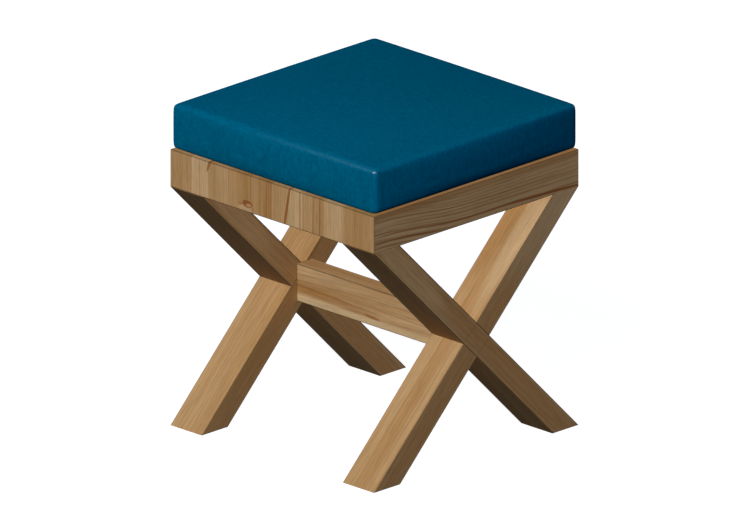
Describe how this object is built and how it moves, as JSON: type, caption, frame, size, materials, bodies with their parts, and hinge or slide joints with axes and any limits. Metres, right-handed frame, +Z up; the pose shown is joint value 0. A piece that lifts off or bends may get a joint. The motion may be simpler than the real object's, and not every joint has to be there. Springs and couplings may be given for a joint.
{
  "type": "x-frame stool",
  "caption": "Square sitting stool on crossed wooden leg frames joined by a stretcher, with a mitred seat frame and a loose teal box cushion that lifts off.",
  "frame": {"origin": "on the floor, under the middle of the seat", "axes": "+Z up, X along the stretcher with the leg frames at +X and -X, front of the seat at -Y"},
  "size_m": [0.4, 0.4, 0.485],
  "materials": {
    "pine": "oiled, satin",
    "beech": "bare",
    "plywood": "bare, sanded",
    "zinc_plated_steel": "bright zinc",
    "hook_tape": "nylon hooks",
    "loop_tape": "brushed nylon loops",
    "foam": "open-cell upholstery foam",
    "teal_linen": "tight plain weave with a slight sheen",
    "lining_cloth": "matt non-woven lining"
  },
  "bodies": {
    "frame": {"front_rail": "pine", "back_rail": "pine", "left_rail": "pine", "right_rail": "pine", "right_back_leg": "pine", "right_front_leg": "pine", "left_back_leg": "pine", "left_front_leg": "pine", "stretcher": "pine", "stretcher_dowels": "beech", "leg_dowels": "beech", "leg_screws": "zinc_plated_steel", "corner_block_front_right": "pine", "corner_block_front_left": "pine", "corner_block_back_right": "pine", "corner_block_back_left": "pine", "corner_block_screws": "zinc_plated_steel", "front_cleat": "pine", "back_cleat": "pine", "left_cleat": "pine", "right_cleat": "pine", "cleat_screws": "zinc_plated_steel", "seat_deck": "plywood", "deck_screws": "zinc_plated_steel", "hook_strips": "hook_tape"},
    "cushion": {"cushion_cover": "teal_linen", "cushion_underside": "lining_cloth", "foam_core": "foam", "loop_strips": "loop_tape"}
  },
  "joints": [
    {"name": "cushion_lift", "type": "slide", "parent": "frame", "child": "cushion", "axis": [0, 0, 1], "range_m": [0, 0.12]}
  ]
}
